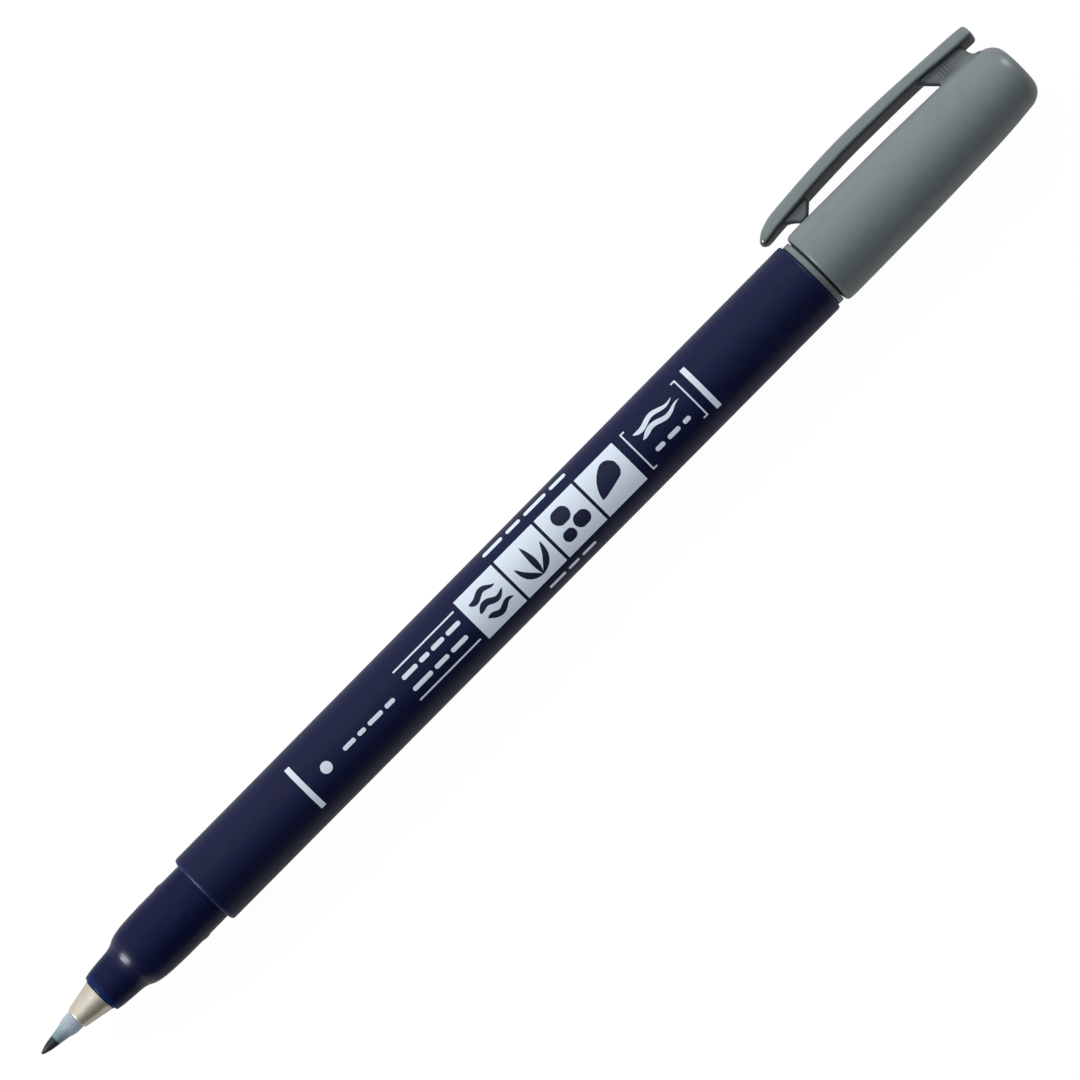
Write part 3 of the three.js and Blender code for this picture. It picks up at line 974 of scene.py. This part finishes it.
def web_shade_share(point):
    """Share of painted shade: 1 on the bridge and wedge between the cap and the clip arm, 0 on the arm."""
    away = math.hypot(point.y - AXIS_Y, point.z - AXIS_Z) / MM
    behind_tip = level(station_of(point.x), CLIP_TIP + 3, CLIP_TIP + 4)
    return behind_tip * level(away, 5.2, 5.6) * (1 - level(away, 6.9, 7.4))


def clip():
    """Arm, bridge and wedge are one moulding. The bridge's front is placed from the hinge of the clip's
    flex joint.
    """
    moulding = join_solids(clip_arm(), [clip_bridge(), clip_wedge(), *bridge_ribs()], GREY_FINISH)
    # Painted shade on the bridge and wedge under the arm, stored for the grey material.
    web_shade = moulding.data.attributes.new("web", "FLOAT", "POINT")
    web_shade.data.foreach_set("value", [web_shade_share(vertex.co) for vertex in moulding.data.vertices])
    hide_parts("clip")
    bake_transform(moulding)


def inner_cap():
    """Seal liner: a cup with a rolled mouth, a sealing bead and a closed end."""
    outside = CAP_BORE - 0.1
    bore = 3.15
    chamber = 2.6
    wall = 1.1
    outline = [
        (0, LINER_END - wall),
        *corner((chamber, LINER_END - wall), (-0.5, 0), (0, -0.5), 4),
        (chamber, LINER_MOUTH + 9),
        (bore, LINER_MOUTH + 7),
        (bore, LINER_MOUTH + 1.8),
        *curved([(bore - 0.02, LINER_MOUTH + 1.6), (bore - 0.13, LINER_MOUTH + 1.0),
                 (bore + 0.1, LINER_MOUTH + 0.4), (bore + 0.3, LINER_MOUTH)], 4),
        *corner((outside, LINER_MOUTH), (-0.2, 0), (0, 0.2), 4),
        (outside, LINER_MOUTH + 11.5),
        (outside - 0.5, LINER_END - 1),
        *corner((outside - 0.9, LINER_END), (0.2, -0.5), (-0.6, 0), 4),
        (0, LINER_END),
    ]
    fit(lathe("seal_liner", outline, LINER_FINISH, 128), "liner", "inner_cap")


# ----------------------------------------
# Print on the barrel: plain generic marks, no lettering
# ----------------------------------------

class Print:
    """Thin ink shapes wrapped on the barrel. Places are (station, distance round from the top line)."""

    def __init__(self, name, material, thickness):
        self.name = name
        self.material = material
        self.thickness = thickness
        self.points = []
        self.faces = []

    def sheet(self, rows):
        """A closed sheet of ink through rows of places, all the same length."""
        first = len(self.points)
        across = len(rows[0])
        under = across * len(rows)
        for height in (self.thickness, -0.02):
            for row in rows:
                for station, around in row:
                    radius = barrel_radius(station)
                    self.points.append(place(radius + height, station, around / radius))
        for i in range(len(rows) - 1):
            for j in range(across - 1):
                a = first + i * across + j
                b, c, d = a + 1, a + across + 1, a + across
                self.faces.append((a, b, c, d))
                self.faces.append((d + under, c + under, b + under, a + under))
        edge = [first + j for j in range(across)]
        edge += [first + i * across + across - 1 for i in range(1, len(rows))]
        edge += [first + (len(rows) - 1) * across + j for j in range(across - 2, -1, -1)]
        edge += [first + i * across for i in range(len(rows) - 2, 0, -1)]
        for a, b in zip(edge, edge[1:] + edge[:1]):
            self.faces.append((a, b, b + under, a + under))

    def block(self, start, end, low, high):
        """Rectangle from one station to another and from low to high round the barrel."""
        across = max(2, round((high - low) / 0.3)) + 1
        along = max(2, round((end - start) / 1.0)) + 1
        self.sheet([
            [(start + (end - start) * i / (along - 1), low + (high - low) * j / (across - 1))
             for j in range(across)]
            for i in range(along)
        ])

    def stroke(self, path, width, taper_start=0.0, taper_end=0.0):
        """Line along a path with round ends, or ends that taper over a share of its length."""
        half_steps = max(1, math.ceil(width / 0.5))
        shares = [k / half_steps for k in range(-half_steps, half_steps + 1)]
        lengths = [0.0]
        for a, b in zip(path, path[1:]):
            lengths.append(lengths[-1] + math.dist(a, b))
        total = lengths[-1]
        rows = []
        for i, (point, length) in enumerate(zip(path, lengths)):
            before, after = path[max(0, i - 1)], path[min(len(path) - 1, i + 1)]
            along = (after[0] - before[0], after[1] - before[1])
            size = math.hypot(*along)
            normal = (-along[1] / size, along[0] / size)
            reach_start = max(width / 2, taper_start * total)
            reach_end = max(width / 2, taper_end * total)
            near_start = min(1.0, length / reach_start)
            near_end = min(1.0, (total - length) / reach_end)
            half = width / 2 * max(0.01, 1 - (1 - near_start) ** 2) ** (0.8 if taper_start else 0.5)
            half *= max(0.01, 1 - (1 - near_end) ** 2) ** (0.8 if taper_end else 0.5)
            off = (normal[0] * half, normal[1] * half)
            rows.append([(point[0] + off[0] * k, point[1] + off[1] * k) for k in shares])
        self.sheet(rows)

    def dash(self, start, end, around, width):
        """Straight lengthwise stroke with round ends."""
        steps = 7
        ends = [width / 2 * (1 - math.cos(math.pi / 2 * i / steps)) for i in range(steps)]
        places = [start + off for off in ends] + [end - off for off in reversed(ends)]
        self.stroke([(station, around) for station in places], width)

    def dashes(self, start, around, lengths, gap, width):
        """Row of dashes, one after another."""
        station = start
        for length in lengths:
            self.dash(station, station + length, around, width)
            station += length + gap

    def finish(self):
        piece = new_piece(self.name, self.points, self.faces, self.material)
        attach(piece, "pen")


def ripple(start, length, around, height, phase, waves=1.0, steps=40):
    """Places along a shallow wave."""
    path = []
    for i in range(steps + 1):
        share = i / steps
        rise = height * math.sin(2 * math.pi * (waves * share + phase))
        path.append((start + length * share, around + rise))
    return path


def leaf(root, turn, length, bend, steps=20):
    """Places along a slightly bent line that leaves root in a direction, in degrees."""
    cos, sin = math.cos(math.radians(turn)), math.sin(math.radians(turn))
    path = []
    for i in range(steps + 1):
        along = length * i / steps
        off = bend * math.sin(math.pi * i / steps)
        path.append((root[0] + along * cos - off * sin, root[1] + along * sin + off * cos))
    return path


# Stations of the printed blocks, behind the barrel's front rim.
FRONT_BAR = BARREL_FRONT + 16.73
BAR_LENGTH = 0.74
BAR_REACH = 3.35
MARK_STATION = BARREL_FRONT + 19.3
PANEL_START, PANEL_END = BARREL_FRONT + 33.78, BARREL_FRONT + 43.82
TILE_START = BARREL_FRONT + 44.52
TILE_LENGTH = 6.24
TILE_PITCH = 6.66
TILE_LOW, TILE_HIGH = -3.07, 3.3
BRACKETS = (BARREL_FRONT + 72.07, BARREL_FRONT + 80.97)
REAR_BAR = BARREL_FRONT + 82.24


def white_print():
    """Bars, rules, tiles and brackets in white, with dashes and strokes between them."""
    ink = Print("white_marks", WHITE_INK, 0.012)
    for station in (FRONT_BAR, REAR_BAR):
        ink.block(station, station + BAR_LENGTH, -BAR_REACH, BAR_REACH)

    # A dot and a row of dashes behind the front bar.
    dot = 1.5
    ink.dash(MARK_STATION + 0.5, MARK_STATION + 0.5 + dot, 0.1, dot)
    ink.dashes(MARK_STATION + 4.1, 0.1, (1.9, 1.2, 2.3, 1.5), gap=0.5, width=0.55)

    # Two thin rules with two rows of dashes between them.
    for around in (-2.2, 2.46):
        ink.block(PANEL_START, PANEL_END, around - 0.11, around + 0.11)
    ink.dashes(PANEL_START + 0.3, -0.82, (2.4, 1.5, 2.0, 2.2), gap=0.45, width=0.58)
    ink.dashes(PANEL_START + 0.3, 1.02, (3.1, 2.2, 2.6), gap=0.5, width=0.58)

    # Four tiles, and a row of dashes along each side of them.
    for i in range(4):
        start = TILE_START + TILE_PITCH * i
        ink.block(start, start + TILE_LENGTH, TILE_LOW, TILE_HIGH)
    ink.dashes(TILE_START + 6.2, -5.0, (3.2, 2.3, 3.6, 2.6), gap=0.65, width=0.72)
    ink.dashes(TILE_START + 9.2, 4.55, (2.6, 1.7, 2.2), gap=0.55, width=0.45)

    # Square brackets round two long swelling strokes and three short ones.
    line = 0.2
    arm = 0.6
    for station, inward in zip(BRACKETS, (1, -1)):
        ink.block(station - line / 2, station + line / 2, -3.0, 3.0)
        for around in (-3.0, 3.0 - line):
            ends = sorted((station, station + inward * arm))
            ink.block(*ends, around, around + line)
    for i, around in enumerate((-1.75, -0.7)):
        ink.stroke(ripple(BRACKETS[0] + 1.0 + 0.5 * i, 6.3, around, 0.25, 0.3 * i, 1.5), 0.62, 0.2, 0.6)
    ink.dashes(BRACKETS[0] + 1.7, 1.5, (1.4, 1.9, 1.1), gap=0.6, width=0.6)
    ink.finish()


def navy_print():
    """Plain brush marks on the tiles, in the barrel's blue: ripples, a tuft of grass, pebbles, a drop."""
    ink = Print("tile_strokes", NAVY_INK, 0.02)
    centres = [TILE_START + TILE_LENGTH / 2 + TILE_PITCH * i for i in range(4)]
    middle = (TILE_LOW + TILE_HIGH) / 2

    for i, around in enumerate((-1.5, 0.0, 1.5)):
        start = centres[0] - 2.1 + 0.3 * i
        ink.stroke(ripple(start, 4.0, middle + around, 0.28, 0.35 * i, 1.3), 0.8, 0.25, 0.6)

    root = (centres[1] + 0.1, middle + 2.2)
    for lean, length, bend in ((-38, 3.6, -0.45), (0, 4.3, 0.15), (36, 3.9, 0.5)):
        ink.stroke(leaf(root, lean - 90, length, bend), 0.95, 0.6, 0.85)

    for along, around, size in ((-1.2, 1.15, 1.5), (1.15, 0.75, 1.9), (-0.45, -1.25, 2.1)):
        station = centres[2] + along
        ink.dash(station - 0.6 * size, station + 0.6 * size, middle + around, size)

    ink.stroke(leaf((centres[3] + 1.8, middle - 1.3), 150, 4.7, 0.3), 2.9, 0.0, 0.95)
    ink.finish()


# ----------------------------------------
# Stage, light and camera
# ----------------------------------------

LOOK_AT = Vector((NIB_X - 83.8 * MM, AXIS_Y - 0.83 * MM, AXIS_Z))


def floor():
    """Floor, pale to the camera with its shadows softened, and mid grey to what it lights."""
    half = 2.5
    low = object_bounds()[0][2]
    points = [(x, y, low) for x, y in ((-half, -half), (half, -half), (half, half), (-half, half))]
    mesh = bpy.data.meshes.new("floor")
    mesh.from_pydata(points, [], [(0, 1, 2, 3)])
    ground = add_object("floor", mesh)
    finish = Finish("pale_floor", 0.9, specular=0.0)
    seen = finish.node("ShaderNodeLightPath").outputs["Is Camera Ray"]
    pale = finish.mottled((0.93, 0.93, 0.93), 0.01, 40)
    finish.set(Base_Color=finish.mix(seen, (0.5, 0.5, 0.5), pale))
    finish.set(Emission_Color=(1, 1, 1, 1), Emission_Strength=0.33)
    finish.material.cycles.emission_sampling = "NONE"
    bright = finish.node("ShaderNodeEmission", {"Color": (1, 1, 1, 1), "Strength": 1.02})
    blend = finish.node("ShaderNodeMixShader", {
        0: finish.calculate("MULTIPLY", seen, 0.93),
        1: finish.surface.outputs["BSDF"],
        2: bright.outputs["Emission"],
    })
    output = finish.tree.nodes["Material Output"]
    finish.wire(blend.outputs["Shader"], output.inputs["Surface"])
    mesh.materials.append(finish.material)
    ground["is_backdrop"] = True


def panel(name, toward, distance, size, radiance, aim=LOOK_AT, roll=0, shading=True, glints=True):
    """Soft rectangular light in a direction from aim, facing it. size is (sideways, upwards), in metres.

    It can be rolled, in degrees, and leave out its share of the matt shading or its glints."""
    light = bpy.data.lights.new(name, "AREA")
    light.shape = "RECTANGLE"
    light.size, light.size_y = size
    light.energy = radiance * math.pi * size[0] * size[1]
    lamp = add_object(name, light)
    direction = Vector(toward).normalized()
    lamp.location = aim + direction * distance
    facing = direction.to_track_quat("Z", "Y") @ Quaternion((0, 0, 1), math.radians(roll))
    lamp.rotation_euler = facing.to_euler()
    lamp.visible_camera = False
    lamp.visible_diffuse = shading
    lamp.visible_glossy = glints
    return lamp


def from_top(tilt):
    """Direction tilted from straight up towards the far side, in degrees."""
    return (0, math.tan(math.radians(tilt)), 1)


def lights():
    """A wide key from the clip's side with weaker fills, and small lamps that only make glints."""
    shoulder = place(NOSE_RADIUS, SHOULDER + 1, 0)
    crown = place(0, CAP_END, 0)
    panel("key", from_top(-56), 0.9, (1.3, 0.8), radiance=2.6, glints=False)
    panel("upper_fill", from_top(-24), 1.2, (0.9, 0.4), radiance=0.5, glints=False)
    panel("nib_side", (0.8, -0.35, 0.5), 0.9, (0.5, 0.5), radiance=1.5, glints=False)
    glint = panel("shoulder_glint", (0.818, -0.389, 0.424), 0.8, (0.42, 0.13),
                  radiance=52, aim=shoulder, roll=35, shading=False)
    glint.data.color = (0.82, 0.87, 1.0)
    panel("crown_glint", (-0.856, -0.453, 0.251), 0.8, (0.14, 0.2),
          radiance=40, aim=crown, shading=False)


def world():
    """Dim surroundings for matt surfaces, pale ones for the camera.

    In glints they are bright on the key's side, and dim on the far side and towards the nib."""
    dim, pale = 0.16, 0.93
    surroundings = bpy.data.worlds.new("studio")
    surroundings.use_nodes = True
    surroundings.cycles.sampling_method = "NONE"
    nodes = Nodes(surroundings.node_tree)
    ray = nodes.node("ShaderNodeLightPath").outputs
    looking = nodes.node("ShaderNodeTexCoord").outputs["Generated"]
    way = nodes.node("ShaderNodeSeparateXYZ", {"Vector": looking})
    far_side = nodes.spread(way.outputs["Y"], -0.25, 0.75, 0.75, 0.06, smooth=True)
    nib_side = nodes.spread(way.outputs["X"], 0.4, 0.75, 1.0, 0.2, smooth=True)
    strength = nodes.calculate("MULTIPLY", far_side, nib_side)
    strength = nodes.choose(ray["Is Glossy Ray"], dim, strength)
    strength = nodes.choose(ray["Is Camera Ray"], strength, pale)
    background = nodes.tree.nodes["Background"]
    nodes.wire(strength, background.inputs["Strength"])
    nodes.wire((1, 1, 1, 1), background.inputs["Color"])
    bpy.context.scene.world = surroundings


def camera():
    """Straight above the pen, turned so that the pen runs from lower left to upper right."""
    lens, sensor = 250, 36
    view_width = 0.1264
    view_turn = math.radians(134.68)
    data = bpy.data.cameras.new("camera")
    data.lens = lens
    data.sensor_width = sensor
    eye = add_object("camera", data)
    eye.location = LOOK_AT + Vector((0, 0, view_width * lens / sensor))
    eye.rotation_euler = (0, 0, view_turn)
    bpy.context.scene.camera = eye


brush_nib()
nib_holder()
front_section()
ink_feed()
barrel()
ink_reservoir()
reservoir_sleeve()
tail_plug()
cap_body()
clip()
inner_cap()
white_print()
navy_print()
floor()
lights()
world()
camera()
bpy.context.scene.view_settings.view_transform = "Standard"
